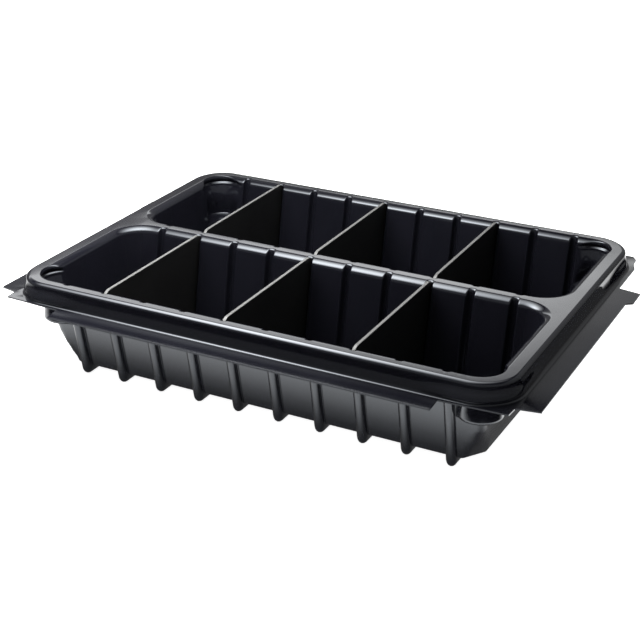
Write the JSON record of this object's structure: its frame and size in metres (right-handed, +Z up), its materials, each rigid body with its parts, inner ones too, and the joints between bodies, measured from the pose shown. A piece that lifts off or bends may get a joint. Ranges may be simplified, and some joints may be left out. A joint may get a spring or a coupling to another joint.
{
  "type": "divided insert tray",
  "caption": "Vacuum-formed tray with two long slotted troughs, a raised rim, a flat trimmed outer lip and lift-out divider plates.",
  "frame": {"origin": "middle of the tray in plan, on the surface that its rib bottoms stand on", "axes": "+X along the troughs, +Z up, and -Y towards the front long side, the one whose trough is in front"},
  "size_m": [0.3674, 0.2668, 0.0681],
  "materials": {
    "tray_plastic": "glossy black thermoformed sheet",
    "divider_plastic": "satin dark grey sheet"
  },
  "bodies": {
    "tray": {"tray": "tray_plastic"},
    "divider_front_left": {"divider_front_left": "divider_plastic"},
    "divider_front_middle": {"divider_front_middle": "divider_plastic"},
    "divider_front_right": {"divider_front_right": "divider_plastic"},
    "divider_rear_left": {"divider_rear_left": "divider_plastic"},
    "divider_rear_middle": {"divider_rear_middle": "divider_plastic"},
    "divider_rear_right": {"divider_rear_right": "divider_plastic"}
  },
  "joints": [
    {"name": "divider_front_left_lift", "type": "slide", "parent": "tray", "child": "divider_front_left", "axis": [0, 0, 1], "range_m": [0, 0.07]},
    {"name": "divider_front_middle_lift", "type": "slide", "parent": "tray", "child": "divider_front_middle", "axis": [0, 0, 1], "range_m": [0, 0.07]},
    {"name": "divider_front_right_lift", "type": "slide", "parent": "tray", "child": "divider_front_right", "axis": [0, 0, 1], "range_m": [0, 0.07]},
    {"name": "divider_rear_left_lift", "type": "slide", "parent": "tray", "child": "divider_rear_left", "axis": [0, 0, 1], "range_m": [0, 0.07]},
    {"name": "divider_rear_middle_lift", "type": "slide", "parent": "tray", "child": "divider_rear_middle", "axis": [0, 0, 1], "range_m": [0, 0.07]},
    {"name": "divider_rear_right_lift", "type": "slide", "parent": "tray", "child": "divider_rear_right", "axis": [0, 0, 1], "range_m": [0, 0.07]}
  ]
}
